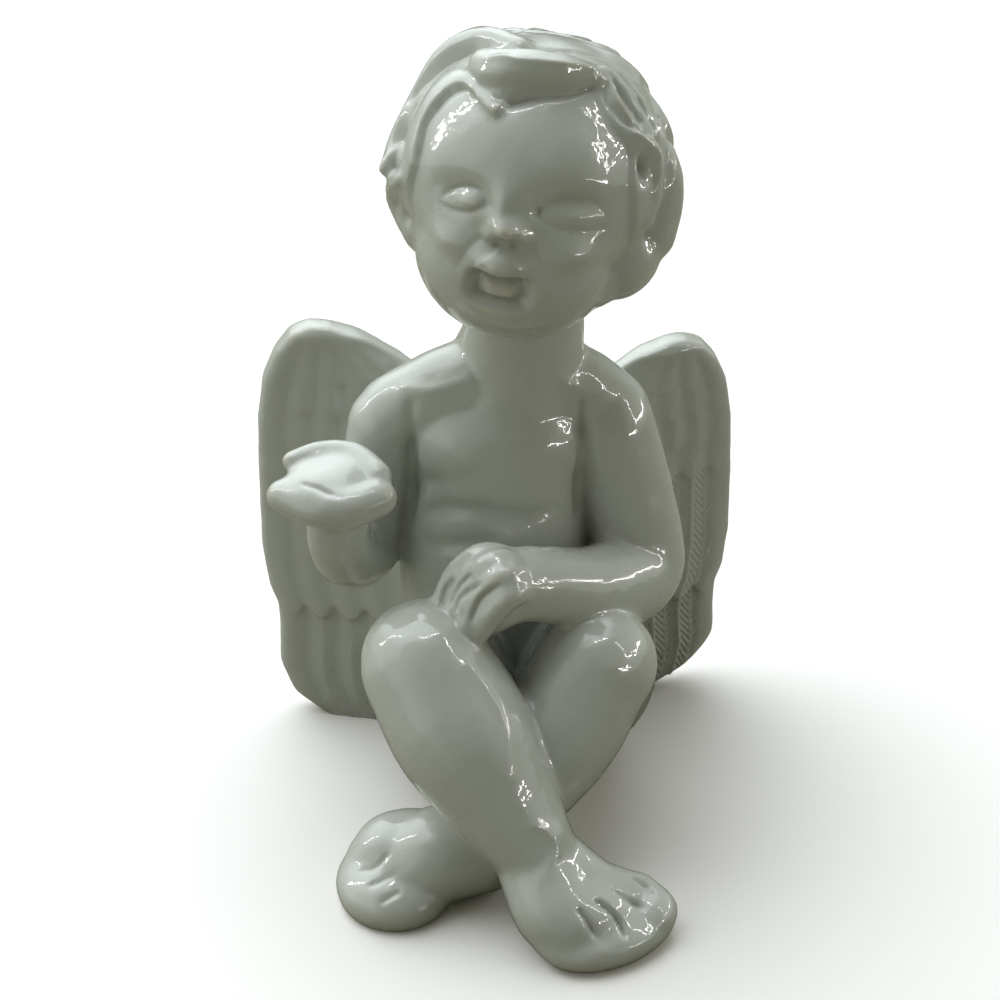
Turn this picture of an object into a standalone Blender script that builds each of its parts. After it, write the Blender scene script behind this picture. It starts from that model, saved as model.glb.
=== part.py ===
"""A seated porcelain cherub with crossed ankles, one open hand and two standing wings, cast as one piece."""

import math

import bmesh
import bpy
import numpy as np
from mathutils import Matrix, Vector

FIGURE_HEIGHT = 0.115    # ground to the crown of the hair

# Every other form is a share of FIGURE_HEIGHT.
# +X is the figure's left, -Y is where it faces, and the origin is on the ground under the seat.
CLAY_GRAIN = 0.0050      # size of the cells that fuse the masses into one skin
SOFTENING = 6            # rounds of smoothing, as glaze rounds the creases
TRIANGLES = 9400         # the finished skin has about this many

# A mass is (x, y, z, radius), and a limb runs smoothly through its masses.
TORSO = [(-0.012, 0.004, 0.090, 0.128), (-0.019, -0.002, 0.190, 0.126), (-0.026, -0.008, 0.300, 0.124),
         (-0.024, -0.002, 0.400, 0.118), (-0.016, 0.000, 0.490, 0.106), (0.000, -0.002, 0.560, 0.082),
         (0.009, -0.006, 0.640, 0.072)]
NAPE = [(0.012, 0.026, 0.700, 0.052), (0.010, 0.022, 0.640, 0.060), (0.002, 0.022, 0.580, 0.078),
        (-0.012, 0.018, 0.500, 0.094)]
SHOULDERS = [(-0.146, 0.004, 0.522, 0.050), (-0.080, 0.000, 0.552, 0.054), (0.000, -0.006, 0.568, 0.062),
             (0.066, -0.010, 0.550, 0.054), (0.112, -0.020, 0.518, 0.052)]
RIGHT_THIGH = [(-0.078, -0.006, 0.088, 0.100), (-0.110, -0.110, 0.205, 0.094), (-0.138, -0.204, 0.296, 0.078)]
RIGHT_SHIN = [(-0.138, -0.208, 0.292, 0.078), (-0.100, -0.256, 0.226, 0.084), (-0.059, -0.298, 0.158, 0.067),
              (-0.026, -0.330, 0.104, 0.052)]
LEFT_THIGH = [(0.060, 0.000, 0.088, 0.100), (0.070, -0.110, 0.190, 0.090), (0.072, -0.192, 0.266, 0.074)]
LEFT_SHIN = [(0.068, -0.194, 0.262, 0.073), (0.020, -0.222, 0.190, 0.074), (-0.034, -0.244, 0.118, 0.060),
             (-0.080, -0.262, 0.070, 0.052)]
RIGHT_ARM = [(-0.160, 0.000, 0.512, 0.047), (-0.180, -0.006, 0.420, 0.043), (-0.190, -0.010, 0.348, 0.044),
             (-0.214, -0.058, 0.366, 0.043), (-0.228, -0.094, 0.412, 0.039), (-0.226, -0.104, 0.455, 0.037)]
LEFT_ARM = [(0.112, -0.026, 0.506, 0.055), (0.135, -0.042, 0.415, 0.056), (0.143, -0.066, 0.322, 0.060),
            (0.078, -0.134, 0.336, 0.054), (0.010, -0.172, 0.372, 0.044), (-0.034, -0.188, 0.386, 0.048),
            (-0.068, -0.192, 0.370, 0.043)]
RIGHT_FOOT = [(-0.022, -0.340, 0.086, 0.050), (-0.002, -0.380, 0.048, 0.053), (0.040, -0.378, 0.036, 0.048),
              (0.076, -0.372, 0.024, 0.036)]
INSTEP = [(-0.018, -0.332, 0.094, 0.046), (0.036, -0.350, 0.050, 0.042), (0.092, -0.356, 0.032, 0.034)]
LEFT_FOOT = [(-0.080, -0.260, 0.056, 0.058), (-0.134, -0.262, 0.050, 0.060), (-0.176, -0.264, 0.032, 0.050)]

# Toes run from the big one to the little one, each as (root x, y, tip x, y, radius).
RIGHT_TOES = [(0.108, -0.352, 0.134, -0.376, 0.019), (0.083, -0.354, 0.109, -0.388, 0.015),
              (0.058, -0.362, 0.086, -0.401, 0.015), (0.035, -0.376, 0.060, -0.417, 0.016),
              (0.012, -0.398, 0.034, -0.432, 0.014)]
LEFT_TOES = [(-0.196, -0.212, -0.238, -0.216, 0.017), (-0.196, -0.238, -0.236, -0.240, 0.014),
             (-0.192, -0.262, -0.232, -0.263, 0.014), (-0.187, -0.290, -0.226, -0.290, 0.016),
             (-0.181, -0.318, -0.214, -0.319, 0.015)]
TOE_ROOT_HEIGHT = 0.047
TOE_TIP_HEIGHT = 0.034

# Fingers and thumbs, as limbs.
RIGHT_THUMB = [(-0.179, -0.115, 0.503, 0.017), (-0.206, -0.076, 0.512, 0.016), (-0.245, -0.062, 0.511, 0.014),
               (-0.279, -0.073, 0.508, 0.012)]
RIGHT_FINGERS = [(-0.181, -0.137, 0.486, 0.022), (-0.220, -0.144, 0.478, 0.024), (-0.262, -0.127, 0.474, 0.023),
                 (-0.291, -0.108, 0.475, 0.020)]
LEFT_KNUCKLES = [(-0.058, -0.178, 0.421), (-0.050, -0.201, 0.425), (-0.043, -0.220, 0.419), (-0.038, -0.233, 0.402)]
LEFT_BENDS = [(-0.092, -0.172, 0.398), (-0.081, -0.196, 0.402), (-0.070, -0.217, 0.396), (-0.060, -0.232, 0.378)]
LEFT_TIPS = [(-0.117, -0.183, 0.358), (-0.105, -0.206, 0.354), (-0.092, -0.222, 0.350), (-0.078, -0.228, 0.346)]
FINGER_RADII = [0.016, 0.016, 0.015, 0.014]

# The head is a ball. Places on it are (longitude, latitude, distance from its centre), in degrees and shares,
# with longitude 0 on the nose and positive towards the figure's left.
HEAD_CENTRE = (0.014, -0.010, 0.821)
HEAD_TURN = (-15.0, -10.0, 8.5)     # degrees about Z, X and Y
SKULL = 0.148
HAIR = 0.158
HAIR_BACK = 0.016                   # how far the hair's ball sits behind the skull's

# A lock of hair is a limb of (longitude, latitude, distance, radius).
LOCKS = [
    [(-50, 52, 0.157, 0.014), (-30, 51, 0.160, 0.020), (-6, 54, 0.161, 0.019), (15, 56, 0.160, 0.016),
     (34, 58, 0.160, 0.013), (50, 58, 0.158, 0.009)],
    [(-46, 50, 0.157, 0.014), (-38, 42, 0.156, 0.014), (-29, 35, 0.154, 0.011), (-20, 30, 0.152, 0.008),
     (-14, 33, 0.151, 0.005)],
    [(-46, 54, 0.160, 0.010), (-52, 44, 0.158, 0.011), (-56, 32, 0.157, 0.010), (-58, 18, 0.156, 0.010),
     (-57, 4, 0.155, 0.009)],
    [(-50, 64, 0.152, 0.012), (-74, 52, 0.158, 0.013), (-86, 34, 0.160, 0.013), (-86, 16, 0.160, 0.012),
     (-80, 0, 0.163, 0.012), (-76, -6, 0.170, 0.008)],
    [(-60, -4, 0.152, 0.008), (-70, -8, 0.156, 0.010), (-82, -16, 0.158, 0.012), (-84, -30, 0.156, 0.012)],
    [(46, 57, 0.158, 0.008), (47, 46, 0.157, 0.009), (50, 36, 0.155, 0.010), (55, 29, 0.154, 0.009)],
    [(48, 60, 0.160, 0.009), (62, 54, 0.161, 0.010), (68, 42, 0.160, 0.010), (66, 32, 0.157, 0.009)],
    [(50, 28, 0.153, 0.007), (60, 26, 0.155, 0.009), (67, 20, 0.156, 0.010), (68, 10, 0.155, 0.009),
     (62, 0, 0.152, 0.006)],
    [(74, 26, 0.159, 0.012), (80, 10, 0.160, 0.013), (80, -4, 0.158, 0.012)],
]
# The back of the head is covered by rings of wavy locks: (latitude of the roots, locks round the head).
NAPE_RINGS = [(62, 6), (32, 8), (2, 8)]
NAPE_FROM = 100                     # longitude where the rings start and, on the other side, end

# The face is modelled by pushes on the skin: (longitude, latitude, reach across, reach up, push outwards).
FACE = [(-21, -2, 0.034, 0.022, -0.016), (22, -3, 0.034, 0.022, -0.016), (-23, -4, 0.020, 0.011, 0.013),
        (23, -5, 0.020, 0.011, 0.013), (-22, 12, 0.034, 0.010, 0.003), (22, 12, 0.034, 0.010, 0.003),
        (-2, 0, 0.010, 0.022, 0.008), (-1, -10, 0.012, 0.012, 0.020), (-8, -13, 0.008, 0.008, 0.007),
        (7, -13, 0.008, 0.008, 0.007), (-2, -24, 0.026, 0.011, 0.010), (-2, -35, 0.026, 0.013, -0.017),
        (-2, -39, 0.020, 0.007, 0.010), (0, -54, 0.028, 0.018, 0.005), (-60, -25, 0.010, 0.012, -0.010),
        (84, -18, 0.010, 0.012, -0.010)]
# Folds are grooves along places on the skin: (places, half width, depth).
FOLDS = [([(-0.110, -0.070, 0.424), (-0.060, -0.100, 0.432), (-0.005, -0.106, 0.432), (0.050, -0.082, 0.422)],
          0.009, 0.007),
         ([(-0.115, -0.075, 0.376), (-0.070, -0.105, 0.384), (0.000, -0.120, 0.386)], 0.009, 0.007)]

# The wings are slabs: (height, inner x, outer x), with y on their middle plane.
WING_OUTLINE = [(-0.010, 0.060, 0.262), (0.030, 0.044, 0.296), (0.080, 0.040, 0.306), (0.140, 0.036, 0.303),
                (0.172, 0.036, 0.304), (0.200, 0.036, 0.314), (0.260, 0.036, 0.320), (0.360, 0.036, 0.318),
                (0.450, 0.044, 0.314), (0.510, 0.080, 0.304), (0.550, 0.130, 0.287), (0.575, 0.176, 0.268),
                (0.587, 0.218, 0.244)]
WING_FOOT_Y = 0.132                 # the wing's middle plane on the ground
WING_TOP_Y = 0.142
WING_HALF = 0.022                   # half of its thickness
WING_SPLAY = 0.25                   # how far back the wing goes for each share outwards
WING_SPLAY_FROM = 0.24
WING_ROOT = [(0.070, 0.056, 0.480, 0.040), (0.064, 0.062, 0.400, 0.046), (0.060, 0.062, 0.300, 0.044)]
LEFT_WING_SCALE = 0.915             # the figure's left wing stands a little lower
# A tier of feathers is (height of its tips, feathers across, its length, lift at the tips, rounding of the tips).
TIERS = [(-0.030, 6, 0.200, 0.008, 0.010), (0.160, 6, 0.220, 0.010, 0.022), (0.365, 6, 0.080, 0.005, 0.016),
         (0.415, 7, 0.070, 0.005, 0.016), (0.465, 6, 0.070, 0.005, 0.016), (0.510, 5, 0.070, 0.004, 0.014)]
QUILL_CROWN = 0.008                 # how far a feather bulges along its middle
RIM_WIDTH = 0.030
RIM_LIFT = 0.008


def share(values):
    """Shares of the figure's height as a vector in metres."""
    return Vector(values) * FIGURE_HEIGHT


def smooth_run(masses, steps):
    """Masses read at even steps along a smooth curve through the given ones."""
    given = np.array(masses, float)
    padded = np.vstack([2 * given[0] - given[1], given, 2 * given[-1] - given[-2]])
    run = []
    for i in range(len(given) - 1):
        a, b, c, d = padded[i:i + 4]
        for t in np.arange(steps) / steps:
            run.append(0.5 * (2 * b + (c - a) * t + (2 * a - 5 * b + 4 * c - d) * t**2
                              + (3 * b - a - 3 * c + d) * t**3))
    run.append(given[-1])
    return run


def add_ring(skin, points):
    return [skin.verts.new(point) for point in points]


def bridge(skin, lower, upper):
    for k in range(len(lower)):
        m = (k + 1) % len(lower)
        skin.faces.new((lower[k], lower[m], upper[m], upper[k]))


def close_stack(skin, rings):
    """Joins rings into one closed skin."""
    for lower, upper in zip(rings, rings[1:]):
        bridge(skin, lower, upper)
    skin.faces.new(list(reversed(rings[0])))
    skin.faces.new(rings[-1])


def add_limb(skin, masses, flatten=1.0, sides=28, steps=7):
    """A round-ended limb through the masses; flatten makes it shallower from front to back."""
    run = smooth_run(masses, steps)
    points = [share(m[:3]) for m in run]
    radii = [m[3] * FIGURE_HEIGHT for m in run]
    first = (points[1] - points[0]).normalized()
    last = (points[-1] - points[-2]).normalized()
    cap = [math.radians(a) for a in (75, 50, 25)]
    path = [(points[0] - first * radii[0] * math.sin(a), first, radii[0] * math.cos(a)) for a in cap]
    for i, point in enumerate(points):
        ahead = points[min(i + 1, len(points) - 1)] - points[max(i - 1, 0)]
        path.append((point, ahead.normalized(), radii[i]))
    path += [(points[-1] + last * radii[-1] * math.sin(a), last, radii[-1] * math.cos(a)) for a in reversed(cap)]
    side = path[0][1].orthogonal().normalized()
    rings = []
    for point, direction, radius in path:
        side = (side - direction * side.dot(direction)).normalized()
        other = direction.cross(side)
        ring = []
        for k in range(sides):
            turn = 2 * math.pi * k / sides
            spot = point + side * radius * math.cos(turn) + other * radius * math.sin(turn)
            spot.y = point.y + (spot.y - point.y) * flatten
            ring.append(spot)
        rings.append(add_ring(skin, ring))
    close_stack(skin, rings)


def add_ball(skin, centre, radii, turn=(0, 0, 0)):
    """An egg-shaped mass with three half axes, turned by degrees about Z, X and Y."""
    place = Matrix.Translation(share(centre)) @ turned(turn) @ Matrix.Diagonal((*share(radii), 1.0))
    bmesh.ops.create_uvsphere(skin, u_segments=32, v_segments=20, radius=1.0, matrix=place)


def turned(degrees):
    """A turn about Z, then X, then Y of the turned mass."""
    about_z, about_x, about_y = [math.radians(d) for d in degrees]
    return Matrix.Rotation(about_z, 4, "Z") @ Matrix.Rotation(about_x, 4, "X") @ Matrix.Rotation(about_y, 4, "Y")


def on_head(longitude, latitude, distance):
    """A place on the head, in shares."""
    lon = math.radians(longitude)
    lat = math.radians(latitude)
    local = Vector((math.cos(lat) * math.sin(lon), -math.cos(lat) * math.cos(lon), math.sin(lat)))
    return Vector(HEAD_CENTRE) + (turned(HEAD_TURN) @ local) * distance


def over_hair(longitude, latitude, out):
    """A place above the hair's ball, in shares."""
    facing = on_head(longitude, latitude, 1.0) - Vector(HEAD_CENTRE)
    offset = on_head(180, 12, HAIR_BACK) - Vector(HEAD_CENTRE)
    along = facing.dot(offset)
    return on_head(longitude, latitude, along + math.sqrt(HAIR**2 - offset.length_squared + along**2) + out)


def add_body(skin):
    add_limb(skin, TORSO, flatten=0.92)
    add_limb(skin, SHOULDERS)
    for masses in (RIGHT_THIGH, RIGHT_SHIN, LEFT_THIGH, LEFT_SHIN, RIGHT_ARM, LEFT_ARM, RIGHT_FOOT, INSTEP,
                   LEFT_FOOT):
        add_limb(skin, masses)
    add_ball(skin, (-0.018, -0.004, 0.490), (0.128, 0.092, 0.088))
    add_limb(skin, NAPE)
    add_ball(skin, (0.054, -0.392, 0.018), (0.090, 0.052, 0.030), (20, 0, 0))
    add_ball(skin, (-0.188, -0.266, 0.018), (0.074, 0.078, 0.040), (0, 0, 0))


def add_toes(skin):
    for x, y, tip_x, tip_y, radius in RIGHT_TOES + LEFT_TOES:
        add_limb(skin, [(x, y, TOE_ROOT_HEIGHT, radius * 0.9), (tip_x, tip_y, TOE_TIP_HEIGHT, radius)], sides=16)


def add_hands(skin):
    add_ball(skin, (-0.223, -0.114, 0.476), (0.064, 0.055, 0.030), (6, 14, 0))
    add_limb(skin, RIGHT_THUMB, sides=18)
    add_limb(skin, RIGHT_FINGERS, sides=18)
    for knuckle, bend, tip, radius in zip(LEFT_KNUCKLES, LEFT_BENDS, LEFT_TIPS, FINGER_RADII):
        add_limb(skin, [(*knuckle, radius), (*bend, radius * 0.95), (*tip, radius * 0.85)], sides=16)


def add_head(skin):
    add_ball(skin, HEAD_CENTRE, (SKULL, SKULL, SKULL), HEAD_TURN)
    add_ball(skin, on_head(180, 12, HAIR_BACK), (HAIR, HAIR, HAIR), HEAD_TURN)
    add_ball(skin, on_head(0, -62, 0.084), (0.116, 0.106, 0.104), HEAD_TURN)
    add_ball(skin, on_head(86, -26, 0.126), (0.052, 0.060, 0.064), HEAD_TURN)
    add_ball(skin, on_head(-84, -28, 0.112), (0.046, 0.056, 0.060), HEAD_TURN)
    for side in (-1, 1):
        add_ball(skin, on_head(36 * side, -34, 0.090), (0.066, 0.064, 0.062))


def add_hair(skin):
    for lock in LOCKS:
        add_limb(skin, [(*on_head(lon, lat, far), radius) for lon, lat, far, radius in lock], sides=16, steps=5)
    for latitude, count in NAPE_RINGS:
        for k in range(count):
            longitude = NAPE_FROM + (360 - 2 * NAPE_FROM) * (k + 0.5) / count
            sweep = 10 if longitude > 180 else -10
            lock = [(longitude, latitude + 14, -0.008, 0.014), (longitude + sweep, latitude, -0.007, 0.020),
                    (longitude, latitude - 14, -0.006, 0.017), (longitude - sweep, latitude - 26, -0.004, 0.010)]
            add_limb(skin, [(*over_hair(*place[:3]), place[3]) for place in lock], sides=16, steps=5)


def outline_at(height):
    """Inner and outer x of the wing at a height."""
    heights, inner, outer = zip(*WING_OUTLINE)
    return float(np.interp(height, heights, inner)), float(np.interp(height, heights, outer))


def feather_lift(across, height):
    """How far the wing's face stands out at a place: across is 0 at the body and 1 at the outer edge."""
    lift = 0.0
    for tip, count, length, rise, rounding in TIERS:
        where = across * count % 1.0 * 2 - 1
        above = height - (tip + rounding * where**2)
        if above > 0:
            lift = rise * max(0.0, 1 - above / length) + QUILL_CROWN * (1 - where**2)
    return lift


def add_wing(skin, side, scale):
    """One wing as a stack of flat rings; side is -1 for the right wing and 1 for the left."""
    rings = []
    lowest = WING_OUTLINE[0][0]
    highest = WING_OUTLINE[-1][0]
    for height in np.linspace(lowest, highest, 90):
        inner, outer = outline_at(height)
        middle = WING_FOOT_Y + (WING_TOP_Y - WING_FOOT_Y) * height / highest
        to_top = max(0.0, min(1.0, (highest + 0.004 - height) / WING_HALF))
        half = WING_HALF * math.sqrt(1 - (1 - to_top)**2)
        ring = []
        for k in range(72):
            turn = 2 * math.pi * k / 72
            along = math.copysign(abs(math.cos(turn))**0.8, math.cos(turn))
            deep = math.copysign(abs(math.sin(turn))**0.4, math.sin(turn))
            across = (along + 1) / 2
            from_edge = min((1 - across) * (outer - inner), highest - height)
            rim = RIM_LIFT * max(0.0, 1 - (from_edge / RIM_WIDTH)**4)
            face = (half - 0.006 + max(rim, feather_lift(across, height))) * deep
            outwards = inner + (outer - inner) * across
            back = middle + face + (outwards - WING_SPLAY_FROM) * WING_SPLAY
            ring.append(share((side * outwards, back, height * scale)))
        rings.append(add_ring(skin, ring))
    close_stack(skin, rings)
    add_limb(skin, [(side * x, y, z, radius) for x, y, z, radius in WING_ROOT])


def make_glaze():
    glaze = bpy.data.materials.new("white_glaze")
    glaze.use_nodes = True
    shader = glaze.node_tree.nodes["Principled BSDF"]
    shader.inputs["Base Color"].default_value = (0.62, 0.64, 0.60, 1.0)
    shader.inputs["Roughness"].default_value = 0.12
    shader.inputs["Metallic"].default_value = 0.0
    return glaze


def smoothed_mesh(cherub):
    """The masses fused by the modifiers, as a mesh that can be modelled by hand."""
    fuse = cherub.modifiers.new("fuse", "REMESH")
    fuse.mode = "VOXEL"
    fuse.voxel_size = CLAY_GRAIN * FIGURE_HEIGHT
    soften = cherub.modifiers.new("soften", "SMOOTH")
    soften.factor = 0.5
    soften.iterations = SOFTENING
    graph = bpy.context.evaluated_depsgraph_get()
    mesh = bpy.data.meshes.new_from_object(cherub.evaluated_get(graph))
    cherub.modifiers.clear()
    fill_pockets(mesh)
    return mesh


def fill_pockets(mesh):
    """Keeps the outer skin and takes out the skins of pockets shut inside the clay."""
    skin = bmesh.new()
    skin.from_mesh(mesh)
    unseen = set(skin.verts)
    islands = []
    while unseen:
        island = [unseen.pop()]
        for vert in island:
            for edge in vert.link_edges:
                other = edge.other_vert(vert)
                if other in unseen:
                    unseen.remove(other)
                    island.append(other)
        islands.append(island)
    islands.sort(key=len)
    for island in islands[:-1]:
        bmesh.ops.delete(skin, geom=island, context="VERTS")
    skin.to_mesh(mesh)
    skin.free()


def push_face(places):
    """Moves the skin of the head out and in where the face's features are."""
    centre = np.array(HEAD_CENTRE)
    from_centre = places - centre
    for longitude, latitude, reach_across, reach_up, push in FACE:
        out = np.array((on_head(longitude, latitude, 1.0) - Vector(HEAD_CENTRE)))
        north = np.array((on_head(longitude, latitude + 90, 1.0) - Vector(HEAD_CENTRE)))
        east = np.cross(north, out)
        away = (from_centre @ east / reach_across)**2 + (from_centre @ north / reach_up)**2
        facing = from_centre @ out > 0.1
        places[facing] += out * (push * np.exp(-away[facing]))[:, None]


def cut_folds(places, normals):
    """Presses grooves into the skin along the folds."""
    for path, half_width, depth in FOLDS:
        near = np.full(len(places), 9.0)
        for start, end in zip(path, path[1:]):
            first = np.array(start)
            along = np.array(end) - first
            part = np.clip((places - first) @ along / (along @ along), 0, 1)
            near = np.minimum(near, np.linalg.norm(places - first - part[:, None] * along, axis=1))
        places -= normals * (depth * np.exp(-(near / half_width)**2))[:, None]


def model_skin(mesh):
    count = len(mesh.vertices)
    places = np.empty(count * 3, np.float32)
    normals = np.empty(count * 3, np.float32)
    mesh.vertices.foreach_get("co", places)
    mesh.vertices.foreach_get("normal", normals)
    places = places.reshape(-1, 3).astype(float) / FIGURE_HEIGHT
    normals = normals.reshape(-1, 3).astype(float)
    cut_folds(places, normals)
    push_face(places)
    mesh.vertices.foreach_set("co", (places * FIGURE_HEIGHT).ravel())
    mesh.update()


def make_ground_cutter():
    """A block below the ground, which takes off what passes through it."""
    block = bmesh.new()
    place = Matrix.Translation(share((0, 0, -0.5))) @ Matrix.Diagonal((*share((2, 2, 1)), 1.0))
    bmesh.ops.create_cube(block, size=1.0, matrix=place)
    mesh = bpy.data.meshes.new("ground_cutter")
    block.to_mesh(mesh)
    block.free()
    cutter = bpy.data.objects.new("ground_cutter", mesh)
    cutter.hide_render = True
    cutter.display_type = "WIRE"
    bpy.context.scene.collection.objects.link(cutter)
    return cutter


def main():
    for old in list(bpy.data.objects):
        bpy.data.objects.remove(old)
    skin = bmesh.new()
    add_body(skin)
    add_toes(skin)
    add_hands(skin)
    add_head(skin)
    add_hair(skin)
    add_wing(skin, -1, 1.0)
    add_wing(skin, 1, LEFT_WING_SCALE)
    bmesh.ops.recalc_face_normals(skin, faces=skin.faces)
    masses = bpy.data.meshes.new("masses")
    skin.to_mesh(masses)
    skin.free()
    cherub = bpy.data.objects.new("cherub_figurine", masses)
    bpy.context.scene.collection.objects.link(cherub)
    cherub.data = smoothed_mesh(cherub)
    model_skin(cherub.data)
    cherub.data.shade_smooth()
    cherub.data.materials.clear()
    cherub.data.materials.append(make_glaze())
    thin = cherub.modifiers.new("thin out", "DECIMATE")
    thin.ratio = TRIANGLES / (2 * len(cherub.data.polygons))
    thin.use_collapse_triangulate = True
    cut = cherub.modifiers.new("flat underside", "BOOLEAN")
    cut.operation = "DIFFERENCE"
    cut.solver = "EXACT"
    cut.object = make_ground_cutter()


main()
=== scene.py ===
import math

import bmesh
import bpy
import numpy as np
from mathutils import Matrix, Vector


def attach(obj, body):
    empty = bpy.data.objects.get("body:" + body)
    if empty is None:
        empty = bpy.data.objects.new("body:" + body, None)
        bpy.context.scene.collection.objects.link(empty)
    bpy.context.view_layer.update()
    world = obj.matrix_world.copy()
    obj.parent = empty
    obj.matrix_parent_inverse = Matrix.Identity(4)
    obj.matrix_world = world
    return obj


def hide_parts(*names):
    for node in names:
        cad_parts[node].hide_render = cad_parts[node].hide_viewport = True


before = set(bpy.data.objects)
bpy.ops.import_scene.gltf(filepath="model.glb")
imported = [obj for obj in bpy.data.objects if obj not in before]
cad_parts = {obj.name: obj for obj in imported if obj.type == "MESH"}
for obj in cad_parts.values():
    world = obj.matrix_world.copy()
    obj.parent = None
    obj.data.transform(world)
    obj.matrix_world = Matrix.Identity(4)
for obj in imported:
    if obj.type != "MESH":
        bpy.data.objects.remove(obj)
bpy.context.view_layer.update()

# The figure is modelled in shares of its height, as in its CAD source.
figure = {
    "height": 0.115,
    "cell": 0.0027,         # grain of the fused clay
    "softening": 0.5,       # strength of each round of smoothing
    "softAll": 5,           # rounds of smoothing everywhere
    "softBody": 17,         # further rounds on the plain body
    # Parts that keep their sharpness: (centre, full within, none beyond, share kept).
    "sharp": [((0.014, -0.010, 0.821), 0.19, 0.22, 0.45),      # head
              ((-0.232, -0.110, 0.490), 0.075, 0.095, 0.30),   # open hand
              ((-0.086, -0.208, 0.382), 0.036, 0.110, 0.60),   # resting hand
              ((0.060, -0.400, 0.050), 0.085, 0.110, 0.20),    # feet
              ((-0.205, -0.270, 0.050), 0.070, 0.095, 0.10)],
    "sharpWings": 0.55,
    "wingsBehind": (-0.050, -0.036),    # where the wings' zone begins, from their middle plane
    "wingsOutwards": (0.06, 0.10),
    "faces": 190000,
    "waviness": 0.0005,     # unevenness of the thick glaze
    "waves": [(95, 60, 40), (-50, 110, 75), (70, -85, 105), (150, 95, -120), (-170, 60, 140)],
    "waveShift": 1.7,
    "capAngles": (78, 60, 40, 20),      # rings of a limb's round end
}


def share(values):
    return Vector(values) * figure["height"]


def smoothRun(masses, steps):
    # even steps along a smooth curve through the given masses
    given = np.array(masses, float)
    padded = np.vstack([2 * given[0] - given[1], given, 2 * given[-1] - given[-2]])
    run = []
    for i in range(len(given) - 1):
        a, b, c, d = padded[i:i + 4]
        for t in np.arange(steps) / steps:
            run.append(0.5 * (2 * b + (c - a) * t + (2 * a - 5 * b + 4 * c - d) * t**2
                              + (3 * b - a - 3 * c + d) * t**3))
    run.append(given[-1])
    return run


def addRing(skin, points):
    return [skin.verts.new(point) for point in points]


def closeStack(skin, rings):
    for lower, upper in zip(rings, rings[1:]):
        for k in range(len(lower)):
            m = (k + 1) % len(lower)
            skin.faces.new((lower[k], lower[m], upper[m], upper[k]))
    skin.faces.new(list(reversed(rings[0])))
    skin.faces.new(rings[-1])


def addLimb(skin, masses, flatten=1.0, sides=36, steps=9):
    # a round-ended limb through (x, y, z, radius) masses
    run = smoothRun(masses, steps)
    points = [share(m[:3]) for m in run]
    radii = [m[3] * figure["height"] for m in run]
    first = (points[1] - points[0]).normalized()
    last = (points[-1] - points[-2]).normalized()
    cap = [math.radians(a) for a in figure["capAngles"]]
    path = [(points[0] - first * radii[0] * math.sin(a), first, radii[0] * math.cos(a)) for a in cap]
    for i, point in enumerate(points):
        ahead = points[min(i + 1, len(points) - 1)] - points[max(i - 1, 0)]
        path.append((point, ahead.normalized(), radii[i]))
    for a in reversed(cap):
        path.append((points[-1] + last * radii[-1] * math.sin(a), last, radii[-1] * math.cos(a)))
    side = path[0][1].orthogonal().normalized()
    rings = []
    for point, direction, radius in path:
        side = (side - direction * side.dot(direction)).normalized()
        other = direction.cross(side)
        ring = []
        for k in range(sides):
            turn = 2 * math.pi * k / sides
            spot = point + side * radius * math.cos(turn) + other * radius * math.sin(turn)
            spot.y = point.y + (spot.y - point.y) * flatten
            ring.append(spot)
        rings.append(addRing(skin, ring))
    closeStack(skin, rings)


def turned(degrees):
    aboutZ, aboutX, aboutY = [math.radians(d) for d in degrees]
    spin = Matrix.Rotation(aboutZ, 4, "Z") @ Matrix.Rotation(aboutX, 4, "X")
    return spin @ Matrix.Rotation(aboutY, 4, "Y")


def addBall(skin, centre, radii, turn=(0, 0, 0)):
    place = Matrix.Translation(share(centre)) @ turned(turn) @ Matrix.Diagonal((*share(radii), 1.0))
    bmesh.ops.create_uvsphere(skin, u_segments=48, v_segments=32, radius=1.0, matrix=place)


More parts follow.
